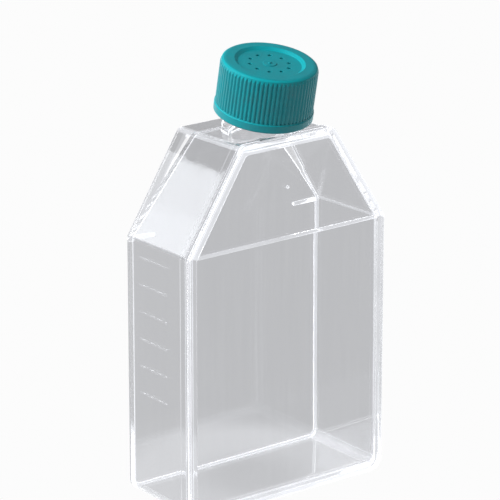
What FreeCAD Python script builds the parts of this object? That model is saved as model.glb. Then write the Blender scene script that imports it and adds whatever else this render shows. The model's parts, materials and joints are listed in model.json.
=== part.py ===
"""Cell culture flask of the 75 cm2 size: clear body with a canted neck, welded top plate and a vented screw cap.

Everything is drawn in the moulding frame first: X across the flask, Y from the top plate's rim towards the growth
face, Z from the bottom end to the neck, with the top plate's lower edge on Z = 0. The neck and the cap are drawn on
the Z axis and then canted. At the end all pieces lean back together until the lower edges of the flange and of the
growth side stand on one floor, and the middle of the base comes to the origin.
"""

import FreeCAD, Part
import math
import os

V = FreeCAD.Vector
X_AXIS = V(1, 0, 0)
Z_AXIS = V(0, 0, 1)

# outline of the top plate, the widest part of the flask
body_width = 84.0
crown_width = 39.4  # the top end, where the neck stands
shoulder_height = 92.4
body_height = 127.4
body_depth = 36.0  # front of the rim to the back of the growth side
bottom_corner_radius = 4.5
shoulder_corner_radius = 3.5
crown_corner_radius = 3.5
least_corner_radius = 0.4  # for an outline moved in by more than its own radii

# walls of the tray
side_wall = 1.5
floor_wall = 1.5
draft_deg = 1.3
flange_thickness = 1.5
flange_overhang = 0.5
back_edge_radius = 0.7

# growth side: rib round the panel, ramp up to the neck, two short bars at the shoulders
growth_rib_height = 0.8
growth_rib_width = 1.1
ramp_top_depth = 27.6  # depth at which the ramp's outside meets the crown
growth_bar_length = 10.5
growth_bar_width = 1.4
growth_bar_drop = 1.8  # below the crease where the ramp starts

# fine graduation bars on the left side wall, read through the wall while the flask stands
graduation_count = 6
graduation_top = 86.6
graduation_pitch = 9.6
graduation_near = 13.0  # depth of the bars' front ends
graduation_length = 15.3
graduation_width = 0.5
graduation_height = 0.12

# top plate
plate_wall = 1.6
rim_height = 0.8
rim_width = 3.4
rim_edge_chamfer = 0.35
weld_lip = 0.8
window_corner_radius = 2.0
cross_rib_width = 1.2
cross_rib_height = 0.5
cross_rib_end_gap = 0.7
gate_radius = 0.6
gate_height = 0.35
gate_below_crown = 17.5

# neck, on its own axis: heights start where the axis leaves the crown
neck_cant_deg = 11.4
neck_axis_depth = 14.9
neck_bore_radius = 10.6
neck_wall = 2.0
neck_root = 4.0  # how far the tube is drawn below the crown, before the cavity trims it
neck_lip_chamfer = 0.5
collar_step = 0.7
collar_height = 4.6
collar_chamfer = 0.4
collar_gap = 0.25  # between the collar and the top plate's upper edge

# screw thread, the same helix on the neck and in the cap
thread_pitch = 4.0
thread_height = 1.0
thread_root_width = 1.8
thread_crest_width = 0.8
thread_root_sink = 0.3
thread_play = 0.2  # along the axis, on the flank that holds the closed cap
thread_tip_gap = 0.4  # radial, from each crest to the other part's wall
neck_thread_turns = 1.5
neck_thread_below_lip = 2.5
cap_thread_turns = 1.0
opening_turns = 1.25

# cap
cap_height = 18.9
cap_above_crown = 5.3
cap_seal_gap = 0.1
cap_skirt_wall = 2.45
cap_edge_radius = 1.8
cap_crown_wall = 1.4
recess_depth = 0.9
recess_radius = 10.7
recess_slope = 1.2
band_height = 3.0
band_step = 0.3
skirt_chamfer = 0.4
grip_count = 70
grip_groove_width = 0.95
grip_groove_depth = 0.43
grip_foot_gap = 0.2  # between the band and the grooves
grip_end_margin = 0.02  # how much further in than the grooves the round edge starts to steepen
vent_count = 10
vent_radius = 0.65
vent_circle_radius = 6.8
vent_first_deg = 15.6
crown_disc_radius = 2.3
crown_disc_height = 0.15
crown_pip_radius = 0.5
crown_pip_height = 0.35

# plug seal and membrane
plug_clearance = 0.15
plug_wall = 0.9
plug_depth = 2.2
plug_taper = 0.3
membrane_plug_gap = 0.35
membrane_thickness = 0.3
membrane_gap = 0.05

same_place = 1e-4  # two points or depths closer than this are one

# sizes that follow from the ones above
weld_depth = rim_height + plate_wall + weld_lip
flange_back = weld_depth + flange_thickness
panel_depth = body_depth - growth_rib_height
neck_radius = neck_bore_radius + neck_wall
collar_radius = neck_radius + collar_step
cap_bore_radius = neck_radius + thread_height + thread_tip_gap
cap_radius = cap_bore_radius + cap_skirt_wall
cap_top = cap_above_crown + cap_height
crown_outside = cap_top - recess_depth
crown_inside = crown_outside - cap_crown_wall
neck_top = crown_inside - cap_seal_gap
neck_thread_top = neck_top - neck_thread_below_lip
neck_thread_bottom = neck_thread_top - neck_thread_turns * thread_pitch
cap_thread_bottom = neck_thread_top - opening_turns * thread_pitch
plug_radius = neck_bore_radius - plug_clearance
membrane_radius = plug_radius - plug_wall - membrane_plug_gap


def draft_inset(depth):
    """How far the tray's outside lies within the top plate's outline at a depth."""
    return flange_overhang + (depth - weld_depth) * math.tan(math.radians(draft_deg))


def outline(inset, depth):
    """The flask's six corners at a depth, with every side moved inwards by inset, from the lower left one round."""
    turn = math.atan2((body_width - crown_width) / 2, body_height - shoulder_height)
    side = body_width / 2 - inset
    shoulder = shoulder_height - inset * math.tan(turn / 2)
    crown = crown_width / 2 - inset * math.tan((math.pi / 2 - turn) / 2)
    right = [(side, inset), (side, shoulder), (crown, body_height - inset)]
    left = [(-x, z) for x, z in reversed(right)]
    return [V(x, depth, z) for x, z in left[2:] + right + left[:2]]


def corner_radii(inset):
    """Radii of the outline's bottom, shoulder and crown corners where it is moved inwards by inset."""
    radii = (bottom_corner_radius, shoulder_corner_radius, crown_corner_radius)
    return [max(radius - inset, least_corner_radius) for radius in radii]


def ends_on(edge, a, b):
    """Whether an edge runs between two points, either way round."""
    ends = [vertex.Point for vertex in edge.Vertexes]
    return len(ends) == 2 and all(
        min(end.distanceToPoint(point) for end in ends) < same_place for point in (a, b)
    )


def tapered_block(front_inset, front_depth, back_inset, back_depth, radii):
    """A solid between the outlines at two depths, with its bottom, shoulder and crown corners rounded."""
    front = outline(front_inset, front_depth)
    back = outline(back_inset, back_depth)
    rings = [front, back]
    for i in range(6):
        j = (i + 1) % 6
        rings.append([front[i], front[j], back[j], back[i]])
    faces = [Part.Face(Part.makePolygon(ring + ring[:1])) for ring in rings]
    block = Part.Solid(Part.Shell(faces))
    if block.Volume < 0:
        block.reverse()
    for radius, corners in zip(radii, [(0, 1), (2, 5), (3, 4)]):
        edges = [
            edge for edge in block.Edges if any(ends_on(edge, front[i], back[i]) for i in corners)
        ]
        block = block.makeFillet(radius, edges)
    return block


def edges_at_depth(solid, depth):
    """The edges that lie wholly at one depth."""
    return [
        edge
        for edge in solid.Edges
        if abs(edge.BoundBox.YMin - depth) < same_place
        and abs(edge.BoundBox.YMax - depth) < same_place
    ]


def behind_panel(panel, ramp_top, back):
    """Everything behind the growth panel and its ramp, from their surface to a depth, right across the flask."""
    side = [
        V(-body_width, panel, -body_width),
        V(-body_width, panel, shoulder_height),
        V(-body_width, ramp_top, body_height),
        V(-body_width, back, body_height + body_width),
        V(-body_width, back, -body_width),
    ]
    return Part.Face(Part.makePolygon(side + side[:1])).extrude(V(2 * body_width, 0, 0))


def canted(shape):
    """A shape drawn on the Z axis, put where the neck's axis leaves the crown and canted towards the top plate."""
    shape = shape.copy()
    shape.Placement = FreeCAD.Placement(
        V(0, neck_axis_depth, body_height), FreeCAD.Rotation(X_AXIS, neck_cant_deg)
    ).multiply(shape.Placement)
    return shape


def revolved(section):
    """A solid turned from a closed section of (radius, height) points."""
    points = [V(radius, 0, height) for radius, height in section]
    return Part.Face(Part.makePolygon(points + points[:1])).revolve(V(0, 0, 0), Z_AXIS, 360)


def thread_ridge(wall_radius, outward, bottom, turns, start_deg):
    """A trapezoid ridge wound up a wall about the Z axis, standing outwards or inwards from it."""
    side = 1 if outward else -1
    flank = (thread_root_width - thread_crest_width) / 2 / thread_height
    root = wall_radius - side * thread_root_sink
    crest = wall_radius + side * thread_height
    root_half = thread_root_width / 2 + flank * thread_root_sink
    crest_half = thread_crest_width / 2
    section = [
        V(root, 0, -root_half),
        V(crest, 0, -crest_half),
        V(crest, 0, crest_half),
        V(root, 0, root_half),
    ]
    helix = Part.makeHelix(thread_pitch, turns * thread_pitch, wall_radius)
    ridge = Part.Wire(helix).makePipeShell([Part.makePolygon(section + section[:1])], True, True)
    ridge.rotate(V(0, 0, 0), Z_AXIS, start_deg)
    ridge.translate(V(0, 0, bottom))
    return ridge


def cap_thread_start_deg():
    """Where the cap's ridge starts, so that it lies under the neck's by the play on the flank that holds it."""
    gap_middle = neck_radius + (thread_height + thread_tip_gap) / 2
    reach = thread_height - (gap_middle - neck_radius)
    width = thread_crest_width + (thread_root_width - thread_crest_width) * reach / thread_height
    below = width + thread_play
    rise = cap_thread_bottom - neck_thread_bottom + below
    return rise / thread_pitch * 360 % 360


def neck_tube():
    """The neck before it is bored: tube, collar and thread."""
    collar_side = collar_height - collar_chamfer
    section = [
        (0, -neck_root),
        (collar_radius, -neck_root),
        (collar_radius, collar_side),
        (collar_radius - collar_chamfer, collar_height),
        (neck_radius, collar_height),
        (neck_radius, neck_top - neck_lip_chamfer),
        (neck_radius - neck_lip_chamfer, neck_top),
        (0, neck_top),
    ]
    ridge = thread_ridge(neck_radius, True, neck_thread_bottom, neck_thread_turns, 0)
    return revolved(section).fuse(ridge)


def growth_bar(side):
    """The short bar from the perimeter rib at one shoulder, with a round end."""
    outer = body_width / 2 - draft_inset(body_depth) - growth_rib_width / 2
    inner = outer - growth_bar_length
    height = shoulder_height - growth_bar_drop
    low = height - growth_bar_width / 2
    bar = Part.makeBox(
        growth_bar_length, growth_rib_height, growth_bar_width, V(inner, panel_depth, low)
    )
    end = Part.makeCylinder(
        growth_bar_width / 2, growth_rib_height, V(inner, panel_depth, height), V(0, 1, 0)
    )
    bar = bar.fuse(end)
    return bar if side > 0 else bar.mirror(V(0, 0, 0), X_AXIS)


def graduation_bars():
    """Level bars on the left side wall, of one height all along the drafted wall."""
    ends = (graduation_near, graduation_near + graduation_length)
    wall = [(draft_inset(depth) - body_width / 2, depth) for depth in ends]
    outside = [V(x - graduation_height, depth, 0) for x, depth in wall]
    inside = [V(x + side_wall / 2, depth, 0) for x, depth in reversed(wall)]
    section = outside + inside
    bar = Part.Face(Part.makePolygon(section + section[:1])).extrude(V(0, 0, graduation_width))
    heights = [graduation_top - i * graduation_pitch for i in range(graduation_count)]
    return [bar.translated(V(0, 0, z - graduation_width / 2)) for z in heights]


def flask_body():
    """The moulded tray with its growth face, ramp, graduations, flange and neck."""
    outer_radii = corner_radii(flange_overhang)
    shell = tapered_block(
        draft_inset(weld_depth), weld_depth, draft_inset(body_depth), body_depth, outer_radii
    )
    shell = shell.makeFillet(back_edge_radius, edges_at_depth(shell, body_depth))
    flange = tapered_block(0, weld_depth, 0, flange_back, corner_radii(0))

    floor_depth = panel_depth - floor_wall
    cavity = tapered_block(
        draft_inset(weld_depth) + side_wall,
        weld_depth,
        draft_inset(floor_depth) + side_wall,
        floor_depth,
        corner_radii(flange_overhang + side_wall),
    ).cut(behind_panel(floor_depth, ramp_top_depth - floor_wall, 2 * body_depth))

    pocket_inset = draft_inset(body_depth) + growth_rib_width
    pocket = tapered_block(
        pocket_inset, weld_depth, pocket_inset, 2 * body_depth, corner_radii(pocket_inset)
    ).common(behind_panel(panel_depth, ramp_top_depth, 2 * body_depth))

    over_plate = Part.makeBox(
        2 * body_width,
        2 * body_depth,
        body_height + collar_gap,
        V(-body_width, weld_depth - 2 * body_depth, 0),
    )
    neck = canted(neck_tube()).cut(over_plate)
    bore = canted(
        Part.makeCylinder(neck_bore_radius, neck_top + 2 * neck_root, V(0, 0, -neck_root))
    )
    body = shell.fuse([flange, neck]).cut([cavity, pocket, bore])
    bars = [growth_bar(1), growth_bar(-1), *graduation_bars()]
    return body.fuse(bars).removeSplitter()


def top_plate():
    """The clear plate with its raised rim, weld lip, cross rib and gate vestige."""
    plate = tapered_block(0, 0, 0, weld_depth, corner_radii(0))
    plate = plate.makeChamfer(rim_edge_chamfer, edges_at_depth(plate, 0))
    window_radii = [window_corner_radius] * 3
    window = tapered_block(rim_width, -rim_height, rim_width, rim_height, window_radii)
    inner_inset = flange_overhang + side_wall
    plate_back = rim_height + plate_wall
    lip_hollow = tapered_block(
        inner_inset, plate_back, inner_inset, 2 * weld_depth, corner_radii(inner_inset)
    )
    plate = plate.cut([window, lip_hollow])

    half = body_width / 2 - rim_width - cross_rib_end_gap - cross_rib_width / 2
    top = rim_height - cross_rib_height
    low = shoulder_height - cross_rib_width / 2
    cross_rib = Part.makeBox(2 * half, cross_rib_height, cross_rib_width, V(-half, top, low))
    ends = [
        Part.makeCylinder(
            cross_rib_width / 2, cross_rib_height, V(x, top, shoulder_height), V(0, 1, 0)
        )
        for x in (-half, half)
    ]
    gate_at = V(0, rim_height - gate_height, body_height - gate_below_crown)
    gate = Part.makeCylinder(gate_radius, gate_height, gate_at, V(0, 1, 0))
    return plate.fuse([cross_rib, *ends, gate]).removeSplitter()


def cap_section():
    """Half section of the cap, from the centre of its underside round to the crown.

    Three cones round the top edge, and the lowest of them takes the ends of the grip grooves.
    """
    plug_bottom = crown_inside - plug_depth
    plug_bore = plug_radius - plug_wall
    disc_top = crown_outside + crown_disc_height
    pip_top = disc_top + crown_pip_height
    band_radius = cap_radius + band_step
    band_top = cap_above_crown + band_height
    past_grooves = math.acos(1 - (grip_groove_depth + grip_end_margin) / cap_edge_radius)
    round_edge = [
        (
            cap_radius - cap_edge_radius * (1 - math.cos(turn)),
            cap_top - cap_edge_radius * (1 - math.sin(turn)),
        )
        for turn in (0, past_grooves, (past_grooves + math.pi / 2) / 2, math.pi / 2)
    ]
    return [
        (0, crown_inside),
        (plug_bore, crown_inside),
        (plug_bore, plug_bottom),
        (plug_radius - plug_taper, plug_bottom),
        (plug_radius, crown_inside),
        (cap_bore_radius, crown_inside),
        (cap_bore_radius, cap_above_crown),
        (band_radius - skirt_chamfer, cap_above_crown),
        (band_radius, cap_above_crown + skirt_chamfer),
        (band_radius, band_top - band_step),
        (cap_radius, band_top),
        *round_edge,
        (recess_radius + recess_slope, cap_top),
        (recess_radius, crown_outside),
        (crown_disc_radius, crown_outside),
        (crown_disc_radius, disc_top),
        (crown_pip_radius, disc_top),
        (crown_pip_radius, pip_top),
        (0, pip_top),
    ]


def grip_groove(turn_deg):
    """Cutter for one upright V groove of the cap's grip."""
    bottom = cap_above_crown + band_height + grip_foot_gap
    section = [
        V(cap_radius - grip_groove_depth, 0, bottom),
        V(cap_radius + grip_groove_depth, -grip_groove_width, bottom),
        V(cap_radius + grip_groove_depth, grip_groove_width, bottom),
    ]
    groove = Part.Face(Part.makePolygon(section + section[:1])).extrude(V(0, 0, cap_height))
    groove.rotate(V(0, 0, 0), Z_AXIS, turn_deg)
    return groove


def vent_cap():
    """The screw cap on the Z axis: turned form, grip grooves, vent holes and thread."""
    cap = revolved(cap_section())
    cutters = [grip_groove(360 * i / grip_count) for i in range(grip_count)]
    for i in range(vent_count):
        turn = math.radians(vent_first_deg) + 2 * math.pi * i / vent_count
        foot = V(vent_circle_radius * math.cos(turn), vent_circle_radius * math.sin(turn), 0)
        cutters.append(Part.makeCylinder(vent_radius, 2 * cap_top, foot))
    cap = cap.cut(cutters)
    ridge = thread_ridge(
        cap_bore_radius, False, cap_thread_bottom, cap_thread_turns, cap_thread_start_deg()
    )
    return cap.fuse(ridge)


def filter_membrane():
    """The porous disc inside the plug seal, close under the cap's crown."""
    top = crown_inside - membrane_gap
    return Part.makeCylinder(membrane_radius, membrane_thickness, V(0, 0, top - membrane_thickness))


def standing_lean():
    """The angle by which the flask leans back on its flange and on the rounded lower edge of the growth side."""
    middle_depth = body_depth - back_edge_radius
    middle_height = draft_inset(middle_depth) + back_edge_radius / math.cos(math.radians(draft_deg))
    run = middle_depth - flange_back
    return math.atan2(middle_height, run) - math.asin(
        back_edge_radius / math.hypot(run, middle_height)
    )


pieces = {
    "flask_body": flask_body(),
    "top_plate": top_plate(),
    "vent_cap": canted(vent_cap()),
    "filter_membrane": canted(filter_membrane()),
}
for shape in pieces.values():
    shape.rotate(V(0, flange_back, 0), X_AXIS, -math.degrees(standing_lean()))
extent = Part.makeCompound(list(pieces.values())).optimalBoundingBox(False)
middle = V(0, -(extent.YMin + extent.YMax) / 2, 0)

os.makedirs("parts", exist_ok=True)
for name, shape in pieces.items():
    shape.translate(middle)
    shape.exportStep(f"parts/{name}.step")
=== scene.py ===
"""Looks of the cell culture flask: clear polystyrene shell, ribbed teal vent cap and its membrane."""

import json
import math

import bmesh
import bpy
from mathutils import Matrix, Quaternion, Vector
from mathutils.bvhtree import BVHTree


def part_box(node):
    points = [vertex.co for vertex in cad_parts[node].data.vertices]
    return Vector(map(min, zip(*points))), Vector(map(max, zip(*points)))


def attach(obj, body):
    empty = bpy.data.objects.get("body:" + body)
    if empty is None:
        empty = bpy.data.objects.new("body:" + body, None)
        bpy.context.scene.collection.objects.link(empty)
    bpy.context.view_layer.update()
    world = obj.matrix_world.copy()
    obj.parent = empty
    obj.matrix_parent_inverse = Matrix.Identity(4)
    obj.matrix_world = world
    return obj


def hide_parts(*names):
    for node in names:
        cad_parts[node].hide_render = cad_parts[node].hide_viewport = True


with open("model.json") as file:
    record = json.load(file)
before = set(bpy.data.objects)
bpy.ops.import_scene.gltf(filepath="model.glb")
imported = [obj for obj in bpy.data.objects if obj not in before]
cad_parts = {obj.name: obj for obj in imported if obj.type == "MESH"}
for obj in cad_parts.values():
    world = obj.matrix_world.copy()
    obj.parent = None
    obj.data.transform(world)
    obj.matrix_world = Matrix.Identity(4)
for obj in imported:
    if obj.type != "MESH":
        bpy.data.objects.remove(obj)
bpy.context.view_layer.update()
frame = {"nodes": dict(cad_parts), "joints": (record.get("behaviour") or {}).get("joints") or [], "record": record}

MM = 1000  # millimetres in a metre

# camera, as the flask is seen from its front left and a little above
CAMERA_HEADING = math.radians(38.607)
CAMERA_DROP = math.radians(19.533)
CAMERA_ROLL = math.radians(1.505)
CAMERA_DISTANCE = 1.1216
CAMERA_AIM = Vector((-0.01641, -0.01685, 0.09144))
CAMERA_LENS = 244.13
CAMERA_SENSOR = 36
CAMERA_CLIP = (0.05, 50)

# shape of the clear shell, in millimetres
WELD_SINK = 0.002  # how far the plate melts into the tray
CAD_MERGE = 0.001
WELD_MERGE = 0.002
SLIVER = 0.001
JOIN_ANGLE = math.radians(0.1)  # triangles that meet flatter than this become one face
ARRIS_ANGLE = math.radians(50)  # least turn and length of a hollow corner line that is rounded
ARRIS_LENGTH = 60
ARRIS_ROUNDING = 0.75
ARRIS_SEGMENTS = 3
ARRIS_PROFILE = 0.5
LOOK_START = 0.05  # how far from an edge the ray that looks for another wall starts
SHARP_ANGLE = math.radians(55)  # the shading breaks at any edge that turns more than this
CREASE_ANGLE = math.radians(2)  # and between two broad faces that turn more than this
FLAT_ANGLE = math.radians(0.3)  # faces that meet flatter than this are one flat region
BROAD_FACE = 4  # least width of a broad region, and most of a narrow one
NARROW_FACE = 1.3
EVEN_WEIGHT = 100  # normals follow the largest faces

# which faces carry a painted glow or are frosted, also in millimetres, with glows as shares of EDGE_GLOW
RIM_WIDTH = 3.5  # most width of the rim's front
RIM_FACING = 0.97
RIM_SIDE = 36  # how far out the rim's upright sides are
RIM_GLOW = 1.0  # along the rim's foot, shoulders and crown
RIM_SIDE_GLOW = 0.1
NARROW_GLOW = 0.55
STEP_FACING = 0.6
STEP_GLOW = 0.2  # steps that face the panel's middle
WALL_DEPTH = 2  # how near the left side the graduations are
WALL_FACING = 0.6
GRADUATION_GLOW = 0.06
GLOW_LAYER = "edge_glow"
FROST_LAYER = "edge_frost"

# materials: a range is what a noise goes from and to, and then what it is turned into
NOISE_SPAN = (0.3, 0.7)
CLEAR_INDEX = 1.59
CLEAR_TINTS = ((0.968, 0.971, 0.978), (0.992, 0.995, 1.0))
CLEAR_ROUGHNESS = (0.35, 0.75, 0.012, 0.035)
CLEAR_BUMP = (0.04, 0.0002)  # strength and height
WAVE_SCALE = 90
STREAK_SCALE = 420
STREAK_STRETCH = (1, 1, 0.04)  # streaks run up the flask
FROST_ROUGHNESS = 0.4
# painted glow: marked faces emit white, their see-through colour dimmed to grey beneath it, standing in for light
# the edges catch
EDGE_GLOW = 0.5
EDGE_UNEVENNESS = (0.35, 0.6, 0.75, 1.0)
EDGE_GLOW_GREY = (0.34, 0.345, 0.355)
EDGE_GLOW_WHITE = (0.93, 0.95, 1.0)
CAP_TEALS = ((0.006, 0.40, 0.46), (0.008, 0.46, 0.525))
CAP_RIM_HIGHLIGHT = (0.004, 0.56, 0.63)  # painted highlight: the thin rounded edges are coloured a paler teal, standing in for light they catch and let through
CAP_RIM_RISE = (0.1, 0.5)  # how much the faces there turn to the cap's axis
CAP_RIM_FALL = (0.98, 0.85)
CAP_ROUGHNESS = (0.3, 0.7, 0.32, 0.46)
CAP_SPECULAR = 0.5
CAP_BUMP = (0.12, 0.00004)
CAP_EDGE_RADIUS = 0.00035
CAP_EDGE_SAMPLES = 8
CLOUD_SCALE = 160
GRAIN_SCALE = 2600
FILM_TINTS = ((0.78, 0.78, 0.76), (0.93, 0.93, 0.91))
FILM_SPAN = (0.35, 0.65)
FILM_ROUGHNESS = (0.35, 0.65, 0.9, 0.7)
FILM_BUMP = (0.3, 0.00005)
FIBRE_SCALE = 1800
FIBRE_DISTORTION = 1.5

# studio: the camera sees it white all round, the clear plastic passes on grey cards that stand on four
# sides with paler gaps, mirror reflections get a dim sky and a bright floor, and diffuse ones a weak fill
BACKDROP = (0.973, 0.973, 0.973)
FILL = (0.118, 0.12, 0.123)
CARD_GREY = (0.492, 0.495, 0.508)
WALL_WHITE = (1.0, 1.01, 1.04)
MIRRORED_SKY = (0.21, 0.21, 0.22)
MIRRORED_FLOOR = (1.05, 1.05, 1.05)
CARD_COUNT = 4
CARD_HEADING = CAMERA_HEADING  # middle of the first card
CARD_ENDS = (-0.1, -0.5)  # where a card ends and a gap is full, as a cosine that is 1 on each card
CARD_RISE = 0.34  # sine of the height of the cards' middle
CARD_HALF_RISE = 0.09
BESIDE_SHARE = 0.2  # how white it is between the cards
STRIP_HALF_WIDTH = 0.06
STRIP_BLUR = 0.03
RING_RADII = (0.005, 0.03, 0.038, 0.056)  # where the floor's ring of painted light rises, is full, falls and ends
RING_SHARE = 0.35
RING_MIDDLE = 0.09
FLOOR_HALF_SIDE = 6.0
FLOOR_DROP = 0.0005
FLOOR_ROUGHNESS = 0.9

# lights
LIGHT_AIM = (0, 0, 0.08)
KEY_PLACE = (-0.808, 0.343, 0.934)
KEY_SIZE = (1.0, 1.0)
KEY_POWER = 14.6
PANE_PLACE = (-0.7252, 0.9786, 0.4391)  # middle of the lower of two panes that lie edge to edge
PANE_ROLL = math.radians(27.9)
PANE_RADIANCE = 3.35
PANE_COLOUR = (0.93, 0.96, 1.0)
PANES = {  # how far up from PANE_PLACE, size, and share of the radiance
    "pane_upper": (0.15, (0.3, 0.038), 0.88),
    "pane_lower": (0.0, (0.3, 0.262), 1.0),
}
LIGHT_BOUNCES = 64  # enough to pass through all the walls


def node_material(name):
    """A new material, its node tree and its Principled shader."""
    material = bpy.data.materials.new(name)
    material.use_nodes = True
    tree = material.node_tree
    return material, tree, tree.nodes["Principled BSDF"]


def math_node(tree, operation, *inputs):
    """A Math node fed with sockets or plain numbers."""
    node = tree.nodes.new("ShaderNodeMath")
    node.operation = operation
    for socket, value in zip(node.inputs, inputs):
        if isinstance(value, bpy.types.NodeSocket):
            tree.links.new(value, socket)
        else:
            socket.default_value = value
    return node.outputs["Value"]


def ramp(tree, value, start, end, low=0.0, high=1.0):
    """A smooth change from low to high as the value goes from start to end."""
    node = tree.nodes.new("ShaderNodeMapRange")
    node.interpolation_type = "SMOOTHSTEP"
    node.inputs["From Min"].default_value = start
    node.inputs["From Max"].default_value = end
    node.inputs["To Min"].default_value = low
    node.inputs["To Max"].default_value = high
    tree.links.new(value, node.inputs["Value"])
    return node.outputs["Result"]


def mixed(tree, factor, a, b):
    """One colour changed into another by a factor, where each is a socket or plain numbers."""
    node = tree.nodes.new("ShaderNodeMix")
    node.data_type = "RGBA"
    tree.links.new(factor, node.inputs["Factor"])
    sides = [socket for socket in node.inputs if socket.type == "RGBA"]
    for socket, value in zip(sides, (a, b)):
        if isinstance(value, bpy.types.NodeSocket):
            tree.links.new(value, socket)
        else:
            socket.default_value = (*value, 1)
    return next(socket for socket in node.outputs if socket.type == "RGBA")


def noise(tree, place, scale, detail, roughness=0.5, distortion=0.0):
    """A Noise texture's value at a place."""
    node = tree.nodes.new("ShaderNodeTexNoise")
    node.inputs["Scale"].default_value = scale
    node.inputs["Detail"].default_value = detail
    node.inputs["Roughness"].default_value = roughness
    node.inputs["Distortion"].default_value = distortion
    tree.links.new(place, node.inputs["Vector"])
    return node.outputs["Fac"]


def add_bump(tree, shader, height, strength, distance, normal=None):
    """Roughens a shader's normal by a height, on top of another normal if one is given."""
    node = tree.nodes.new("ShaderNodeBump")
    node.inputs["Strength"].default_value = strength
    node.inputs["Distance"].default_value = distance
    tree.links.new(height, node.inputs["Height"])
    if normal is not None:
        tree.links.new(normal, node.inputs["Normal"])
    tree.links.new(node.outputs["Normal"], shader.inputs["Normal"])


def face_mark(tree, layer):
    """What a layer of the mesh's faces holds."""
    node = tree.nodes.new("ShaderNodeAttribute")
    node.attribute_name = layer
    return node.outputs["Fac"]


def clear_plastic():
    """Clear polystyrene: flow streaks, an uneven skin, and marked faces that are frosted or carry a painted glow.
    """
    material, tree, shader = node_material("clear_polystyrene")
    shader.inputs["Transmission Weight"].default_value = 1.0
    shader.inputs["IOR"].default_value = CLEAR_INDEX
    shader.inputs["Emission Strength"].default_value = EDGE_GLOW
    place = tree.nodes.new("ShaderNodeTexCoord").outputs["Object"]
    stretched = tree.nodes.new("ShaderNodeMapping")
    stretched.inputs["Scale"].default_value = STREAK_STRETCH
    tree.links.new(place, stretched.inputs["Vector"])
    waves = noise(tree, place, WAVE_SCALE, detail=3)
    streaks = noise(tree, stretched.outputs["Vector"], STREAK_SCALE, detail=5, roughness=0.65)
    tint = mixed(tree, ramp(tree, streaks, *NOISE_SPAN), *CLEAR_TINTS)
    uneven = ramp(tree, waves, *EDGE_UNEVENNESS)
    # painted glow on the marked faces, uneven along them
    glow = math_node(tree, "MULTIPLY", face_mark(tree, GLOW_LAYER), uneven)
    tree.links.new(mixed(tree, glow, tint, EDGE_GLOW_GREY), shader.inputs["Base Color"])
    tree.links.new(mixed(tree, glow, (0, 0, 0), EDGE_GLOW_WHITE), shader.inputs["Emission Color"])
    smears = ramp(tree, streaks, *CLEAR_ROUGHNESS)
    frost = face_mark(tree, FROST_LAYER)
    rough = math_node(tree, "MULTIPLY_ADD", frost, FROST_ROUGHNESS, smears)
    tree.links.new(rough, shader.inputs["Roughness"])
    add_bump(tree, shader, waves, *CLEAR_BUMP)
    return material


def cap_plastic():
    """Teal polyethylene: cloudy colour, a highlight painted on the roundings as paler teal, uneven gloss, a fine
    grain and soft edges.
    """
    material, tree, shader = node_material("teal_polyethylene")
    shader.inputs["Specular IOR Level"].default_value = CAP_SPECULAR
    place = tree.nodes.new("ShaderNodeTexCoord")
    clouds = noise(tree, place.outputs["Object"], CLOUD_SCALE, detail=4)
    teals = tree.nodes.new("ShaderNodeValToRGB")
    for stop, position, colour in zip(teals.color_ramp.elements, NOISE_SPAN, CAP_TEALS):
        stop.position = position
        stop.color = (*colour, 1)
    tree.links.new(clouds, teals.inputs["Fac"])
    upright = tree.nodes.new("ShaderNodeVectorMath")
    upright.operation = "DOT_PRODUCT"
    upright.inputs[1].default_value = frame["joints"][0]["axis"]
    tree.links.new(place.outputs["Normal"], upright.inputs[0])
    # painted highlight: faces that slope between the top and the sides are mixed towards a paler teal
    rise = ramp(tree, upright.outputs["Value"], *CAP_RIM_RISE)
    fall = ramp(tree, upright.outputs["Value"], *CAP_RIM_FALL)
    rounding = math_node(tree, "MINIMUM", rise, fall)
    paler = mixed(tree, rounding, teals.outputs["Color"], CAP_RIM_HIGHLIGHT)
    tree.links.new(paler, shader.inputs["Base Color"])
    tree.links.new(ramp(tree, clouds, *CAP_ROUGHNESS), shader.inputs["Roughness"])
    grain = noise(tree, place.outputs["Object"], GRAIN_SCALE, detail=2)
    rounded = tree.nodes.new("ShaderNodeBevel")
    rounded.samples = CAP_EDGE_SAMPLES
    rounded.inputs["Radius"].default_value = CAP_EDGE_RADIUS
    add_bump(tree, shader, grain, *CAP_BUMP, rounded.outputs["Normal"])
    return material


def membrane_film():
    """White porous film: a fine felt of fibres, a little mottled."""
    material, tree, shader = node_material("membrane_film")
    place = tree.nodes.new("ShaderNodeTexCoord").outputs["Object"]
    fibres = noise(tree, place, FIBRE_SCALE, detail=6, distortion=FIBRE_DISTORTION)
    felt = ramp(tree, fibres, *FILM_SPAN)
    tree.links.new(mixed(tree, felt, *FILM_TINTS), shader.inputs["Base Color"])
    tree.links.new(ramp(tree, fibres, *FILM_ROUGHNESS), shader.inputs["Roughness"])
    add_bump(tree, shader, felt, *FILM_BUMP)
    return material


def dress(node, material):
    """Gives a CAD node its material."""
    slots = frame["nodes"][node].data.materials
    slots.clear()
    slots.append(material)


def loose_solid(node):
    """A copy of a CAD node's mesh in millimetres, its split vertices joined, as an object of its own."""
    mesh = frame["nodes"][node].data.copy()
    mesh.transform(Matrix.Scale(MM, 4))
    shape = bmesh.new()
    shape.from_mesh(mesh)
    bmesh.ops.remove_doubles(shape, verts=shape.verts, dist=CAD_MERGE)
    shape.to_mesh(mesh)
    shape.free()
    piece = bpy.data.objects.new(node + "_solid", mesh)
    bpy.context.scene.collection.objects.link(piece)
    return piece


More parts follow.
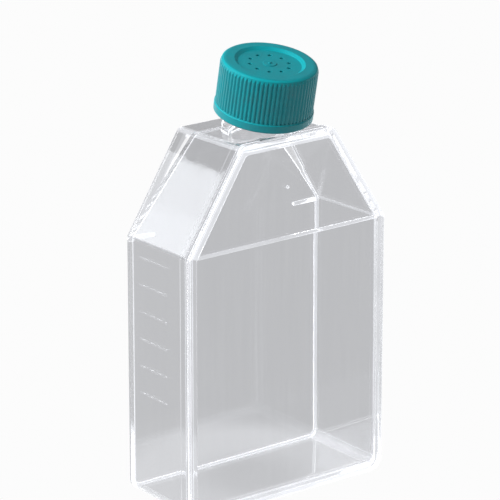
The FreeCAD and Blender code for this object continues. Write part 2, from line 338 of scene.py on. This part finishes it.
def welded_mesh():
    """The tray and the top plate melted into one mesh, in millimetres."""
    mounts = {mount["name"]: mount for mount in frame["record"]["mounts"]}
    inwards = Vector(mounts["growth_face"]["axis"]).normalized()
    tray = loose_solid("flask_body")
    plate = loose_solid("top_plate")
    plate.data.transform(Matrix.Translation(inwards * WELD_SINK))
    weld = tray.modifiers.new("weld", "BOOLEAN")
    weld.operation = "UNION"
    weld.solver = "EXACT"
    weld.object = plate
    graph = bpy.context.evaluated_depsgraph_get()
    mesh = bpy.data.meshes.new_from_object(tray.evaluated_get(graph))
    bpy.data.objects.remove(plate)
    bpy.data.objects.remove(tray)
    return mesh


def clean_up(shape):
    """Merges the weld's sliver edges and joins its triangles into flat faces."""
    bmesh.ops.remove_doubles(shape, verts=shape.verts, dist=WELD_MERGE)
    bmesh.ops.dissolve_degenerate(shape, edges=shape.edges, dist=SLIVER)
    bmesh.ops.join_triangles(
        shape,
        faces=shape.faces,
        angle_face_threshold=JOIN_ANGLE,
        angle_shape_threshold=math.pi,
    )


def edge_lines(edges):
    """Edges sorted into the lines they form where they join end to end."""
    left = set(edges)
    lines = []
    while left:
        line = [left.pop()]
        for edge in line:
            for vertex in edge.verts:
                joined = [other for other in vertex.link_edges if other in left]
                left.difference_update(joined)
                line.extend(joined)
        lines.append(line)
    return lines


def looks_inside(tree, line):
    """Whether a line of edges looks into the chamber: most of them face another wall."""
    hits = 0
    for edge in line:
        middle = (edge.verts[0].co + edge.verts[1].co) / 2
        outwards = (edge.link_faces[0].normal + edge.link_faces[1].normal).normalized()
        hits += tree.ray_cast(middle + outwards * LOOK_START, outwards)[0] is not None
    return 2 * hits > len(line)


def round_arrises(shape):
    """Rounds the long hollow corners inside the chamber, with a painted glow along both borders of each rounding.
    """
    for layer in (GLOW_LAYER, FROST_LAYER):
        shape.faces.layers.float.new(layer)
    glow = shape.faces.layers.float[GLOW_LAYER]
    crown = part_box("vent_cap")[0].z * MM
    tree = BVHTree.FromBMesh(shape)
    hollow = []
    for edge in shape.edges:
        if edge.calc_face_angle(0) > ARRIS_ANGLE and not edge.is_convex:
            hollow.append(edge)
    arrises = []
    for line in edge_lines(hollow):
        length = sum(edge.calc_length() for edge in line)
        top = max(vertex.co.z for edge in line for vertex in edge.verts)
        if length > ARRIS_LENGTH and top < crown and looks_inside(tree, line):
            arrises.extend(line)
    rounded = bmesh.ops.bevel(
        shape,
        geom=arrises,
        affect="EDGES",
        offset_type="OFFSET",
        offset=ARRIS_ROUNDING,
        segments=ARRIS_SEGMENTS,
        profile=ARRIS_PROFILE,
        clamp_overlap=False,
        loop_slide=False,
    )
    new = set(rounded["faces"])
    for face in new:
        face[glow] = any(other not in new for edge in face.edges for other in edge.link_faces)


def flat_widths(shape):
    """For each face, the rough width of the flat region it is in: twice the area over the way round."""
    widths = {}
    for first in shape.faces:
        if first in widths:
            continue
        region = [first]
        seen = {first}
        border = 0
        for face in region:
            for edge in face.edges:
                if edge.calc_face_angle(0) > FLAT_ANGLE:
                    border += edge.calc_length()
                    continue
                fresh = [other for other in edge.link_faces if other not in seen]
                seen.update(fresh)
                region.extend(fresh)
        area = sum(face.calc_area() for face in region)
        widths.update(dict.fromkeys(region, 2 * area / border))
    return widths


def mark_narrow_faces(shape, widths):
    """Marks the rim's front and narrow faces for a painted glow, and the steps that face inwards as frosted too.
    """
    glow = shape.faces.layers.float[GLOW_LAYER]
    frost = shape.faces.layers.float[FROST_LAYER]
    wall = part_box("flask_body")[0].x * MM + WALL_DEPTH
    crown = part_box("top_plate")[1].z * MM
    panel = Vector((0, 0, crown / 2))
    for face in shape.faces:
        middle = face.calc_center_median()
        if middle.z > crown or face[glow]:
            continue
        if widths[face] > NARROW_FACE:
            if widths[face] < RIM_WIDTH and -face.normal.y > RIM_FACING:
                face[glow] = RIM_GLOW if abs(middle.x) < RIM_SIDE else RIM_SIDE_GLOW
            continue
        across = panel - middle
        across.y = 0
        if middle.x < wall and abs(face.normal.y) < WALL_FACING:
            face[glow] = GRADUATION_GLOW
        elif face.normal.dot(across.normalized()) > STEP_FACING:
            face[frost] = 1
            face[glow] = STEP_GLOW
        else:
            face[glow] = NARROW_GLOW


def smooth_roundings(shape, widths):
    """Runs the shading on over roundings and steps, and breaks it at sharp edges and between broad faces."""
    frost = shape.faces.layers.float[FROST_LAYER]
    for edge in shape.edges:
        turn = edge.calc_face_angle(0)
        broad = min(widths[face] for face in edge.link_faces) > BROAD_FACE
        softened = any(face[frost] for face in edge.link_faces)
        edge.smooth = softened or (turn < SHARP_ANGLE and not (broad and turn > CREASE_ANGLE))
    for face in shape.faces:
        face.smooth = True


def clear_shell():
    """The tray and the top plate as one clear piece, the chamber's corners rounded and its faces marked."""
    mesh = welded_mesh()
    shape = bmesh.new()
    shape.from_mesh(mesh)
    clean_up(shape)
    round_arrises(shape)
    widths = flat_widths(shape)
    mark_narrow_faces(shape, widths)
    smooth_roundings(shape, widths)
    shape.to_mesh(mesh)
    shape.free()
    mesh.transform(Matrix.Scale(1 / MM, 4))
    mesh.materials.clear()
    mesh.materials.append(clear_plastic())
    shell = bpy.data.objects.new("clear_shell", mesh)
    bpy.context.scene.collection.objects.link(shell)
    even = shell.modifiers.new("even_faces", "WEIGHTED_NORMAL")
    even.weight = EVEN_WEIGHT
    even.keep_sharp = True
    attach(shell, "flask")
    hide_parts("flask_body", "top_plate")


def make_camera():
    """The photo's view of the flask."""
    data = bpy.data.cameras.new("camera")
    data.lens = CAMERA_LENS
    data.sensor_width = CAMERA_SENSOR
    data.clip_start, data.clip_end = CAMERA_CLIP
    camera = bpy.data.objects.new("camera", data)
    bpy.context.scene.collection.objects.link(camera)
    look = Vector(
        (
            math.sin(CAMERA_HEADING) * math.cos(CAMERA_DROP),
            math.cos(CAMERA_HEADING) * math.cos(CAMERA_DROP),
            -math.sin(CAMERA_DROP),
        )
    )
    turn = look.to_track_quat("-Z", "Y").to_matrix().to_4x4()
    roll = Matrix.Rotation(CAMERA_ROLL, 4, "Z")
    camera.matrix_world = Matrix.Translation(CAMERA_AIM - look * CAMERA_DISTANCE) @ turn @ roll
    bpy.context.scene.camera = camera


def beside_cards(tree, place):
    """0 on the grey cards and more between them, by the heading from the flask's foot."""
    heading = math_node(tree, "ARCTAN2", place["X"], place["Y"])
    off = math_node(tree, "SUBTRACT", heading, CARD_HEADING)
    turned = math_node(tree, "MULTIPLY", off, CARD_COUNT)
    return ramp(tree, math_node(tree, "COSINE", turned), *CARD_ENDS, 0, BESIDE_SHARE)


def beside_strips(tree, place):
    """1 beside the two grey strips that cross on the floor under the flask and 0 on them."""
    cos, sin = math.cos(CARD_HEADING), math.sin(CARD_HEADING)
    offs = []
    for a, b in ((cos, -sin), (sin, cos)):
        part = math_node(tree, "MULTIPLY", place["X"], a)
        offs.append(math_node(tree, "ABSOLUTE", math_node(tree, "MULTIPLY_ADD", place["Y"], b, part)))
    nearest = math_node(tree, "MINIMUM", *offs)
    return ramp(tree, nearest, STRIP_HALF_WIDTH, STRIP_HALF_WIDTH + STRIP_BLUR)


def painted_light_ring(tree, place):
    """A faint ring of painted light in the floor's glow round the flask's foot, which only the clear plastic
    passes on.
    """
    radius = tree.nodes.new("ShaderNodeVectorMath")
    radius.operation = "LENGTH"
    tree.links.new(place, radius.inputs[0])
    start, full, fall, end = RING_RADII
    rising = ramp(tree, radius.outputs["Value"], start, full, RING_MIDDLE, RING_SHARE)
    falling = ramp(tree, radius.outputs["Value"], fall, end, RING_SHARE, 0)
    return math_node(tree, "MINIMUM", rising, falling)


def studio_colour(tree, white, mirrored):
    """Colour of a part of the studio that is white where white is 1 and a grey card where it is 0."""
    through = mixed(tree, white, CARD_GREY, WALL_WHITE)
    path = tree.nodes.new("ShaderNodeLightPath")
    lit = mixed(tree, path.outputs["Is Diffuse Ray"], mirrored, FILL)
    shown = mixed(tree, path.outputs["Is Transmission Ray"], lit, through)
    return mixed(tree, path.outputs["Is Camera Ray"], shown, BACKDROP)


def make_walls():
    """The studio round and over the flask, as the world's background."""
    world = bpy.data.worlds.new("studio")
    bpy.context.scene.world = world
    world.use_nodes = True
    tree = world.node_tree
    place = tree.nodes.new("ShaderNodeTexCoord")
    split = tree.nodes.new("ShaderNodeSeparateXYZ")
    tree.links.new(place.outputs["Generated"], split.inputs[0])
    rise = math_node(tree, "SUBTRACT", split.outputs["Z"], CARD_RISE)
    off = ramp(tree, math_node(tree, "ABSOLUTE", rise), CARD_HALF_RISE, 2 * CARD_HALF_RISE)
    white = math_node(tree, "MAXIMUM", beside_cards(tree, split.outputs), off)
    colour = studio_colour(tree, white, MIRRORED_SKY)
    tree.links.new(colour, tree.nodes["Background"].inputs["Color"])


def make_floor():
    """The studio's floor, just under the flask's foot."""
    material, tree, shader = node_material("floor")
    shader.inputs["Base Color"].default_value = (0, 0, 0, 1)
    shader.inputs["Roughness"].default_value = FLOOR_ROUGHNESS
    shader.inputs["Specular IOR Level"].default_value = 0
    shader.inputs["Emission Strength"].default_value = 1
    place = tree.nodes.new("ShaderNodeTexCoord").outputs["Object"]
    split = tree.nodes.new("ShaderNodeSeparateXYZ")
    tree.links.new(place, split.inputs[0])
    beside = beside_cards(tree, split.outputs)
    white = math_node(tree, "MINIMUM", beside, beside_strips(tree, split.outputs))
    # painted light: a paler ring round the foot, seen only through the clear walls
    white = math_node(tree, "MAXIMUM", white, painted_light_ring(tree, place))
    tree.links.new(studio_colour(tree, white, MIRRORED_FLOOR), shader.inputs["Emission Color"])
    mesh = bpy.data.meshes.new("floor")
    s = FLOOR_HALF_SIDE
    mesh.from_pydata([(-s, -s, 0), (s, -s, 0), (s, s, 0), (-s, s, 0)], [], [(0, 1, 2, 3)])
    mesh.materials.append(material)
    floor = bpy.data.objects.new("floor", mesh)
    floor.location.z = -FLOOR_DROP
    bpy.context.scene.collection.objects.link(floor)


def soft_light(name, place, size, power, roll=0, colour=(1, 1, 1)):
    """A rectangle of light that faces the flask, rolled about its own beam."""
    data = bpy.data.lights.new(name, "AREA")
    data.shape = "RECTANGLE"
    data.size, data.size_y = size
    data.energy = power
    data.color = colour
    light = bpy.data.objects.new(name, data)
    bpy.context.scene.collection.objects.link(light)
    light.location = place
    light.rotation_mode = "QUATERNION"
    facing = (Vector(LIGHT_AIM) - Vector(place)).to_track_quat("-Z", "Y")
    light.rotation_quaternion = facing @ Quaternion((0, 0, 1), roll)
    return light


def make_lights():
    """A key for the cap, which no reflection shows, and the panes that the left shoulder mirrors."""
    key = soft_light("key", KEY_PLACE, KEY_SIZE, KEY_POWER)
    key.visible_glossy = False
    for name, (rise, size, share) in PANES.items():
        power = PANE_RADIANCE * share * math.pi * size[0] * size[1]
        pane = soft_light(name, PANE_PLACE, size, power, PANE_ROLL, PANE_COLOUR)
        pane.location += pane.rotation_quaternion @ Vector((0, rise, 0))


def set_up_cycles():
    """Plain tones, and enough bounces to see through all the walls."""
    scene = bpy.context.scene
    scene.view_settings.view_transform = "Standard"
    scene.cycles.max_bounces = LIGHT_BOUNCES
    scene.cycles.glossy_bounces = LIGHT_BOUNCES
    scene.cycles.transmission_bounces = LIGHT_BOUNCES


dress("vent_cap", cap_plastic())
dress("filter_membrane", membrane_film())
clear_shell()
make_camera()
make_walls()
make_floor()
make_lights()
set_up_cycles()
